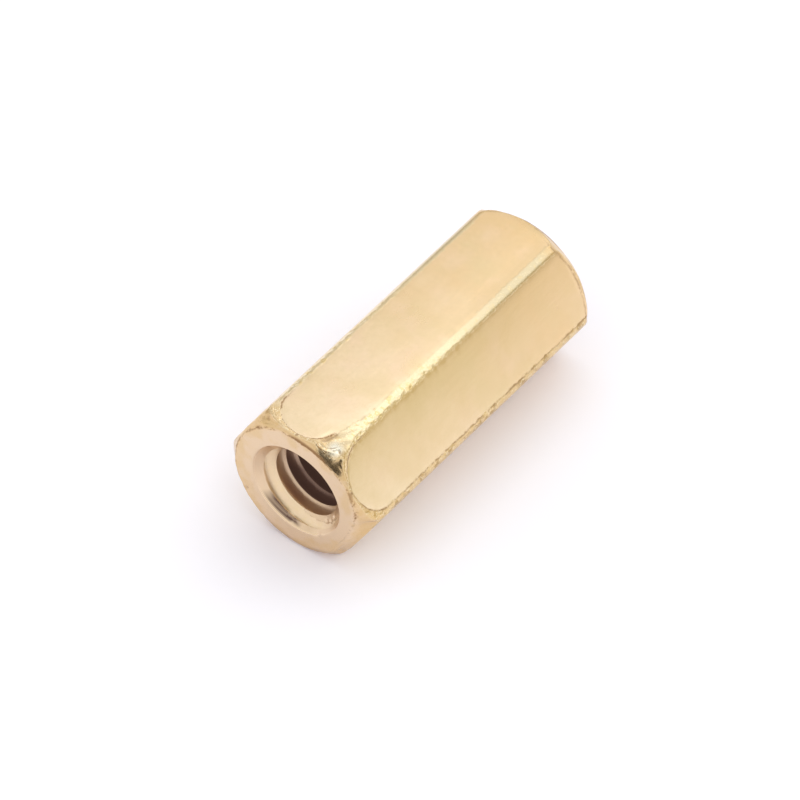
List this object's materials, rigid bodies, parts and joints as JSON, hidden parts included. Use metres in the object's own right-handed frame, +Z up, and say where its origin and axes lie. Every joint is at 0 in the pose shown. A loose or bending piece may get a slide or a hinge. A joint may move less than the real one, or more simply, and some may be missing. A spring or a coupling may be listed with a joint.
{
  "type": "hex standoff",
  "caption": "Hexagonal brass standoff, tapped right through, with a countersunk mouth and chamfered corners at each end, for spacing a circuit board from its base.",
  "frame": {"origin": "middle of the flat that the standoff lies on", "axes": "+Y along the thread axis, with the front end face at -Y; +Z up, square to the flat that it lies on; +X across two edges"},
  "size_m": [0.0056, 0.012, 0.005],
  "materials": {
    "brass": "bright drawn brass, pale gold, with fine draw lines along the flats, polished edges and darker tarnish where the end chamfers begin"
  },
  "bodies": {
    "root": {"standoff": "brass"}
  },
  "joints": []
}
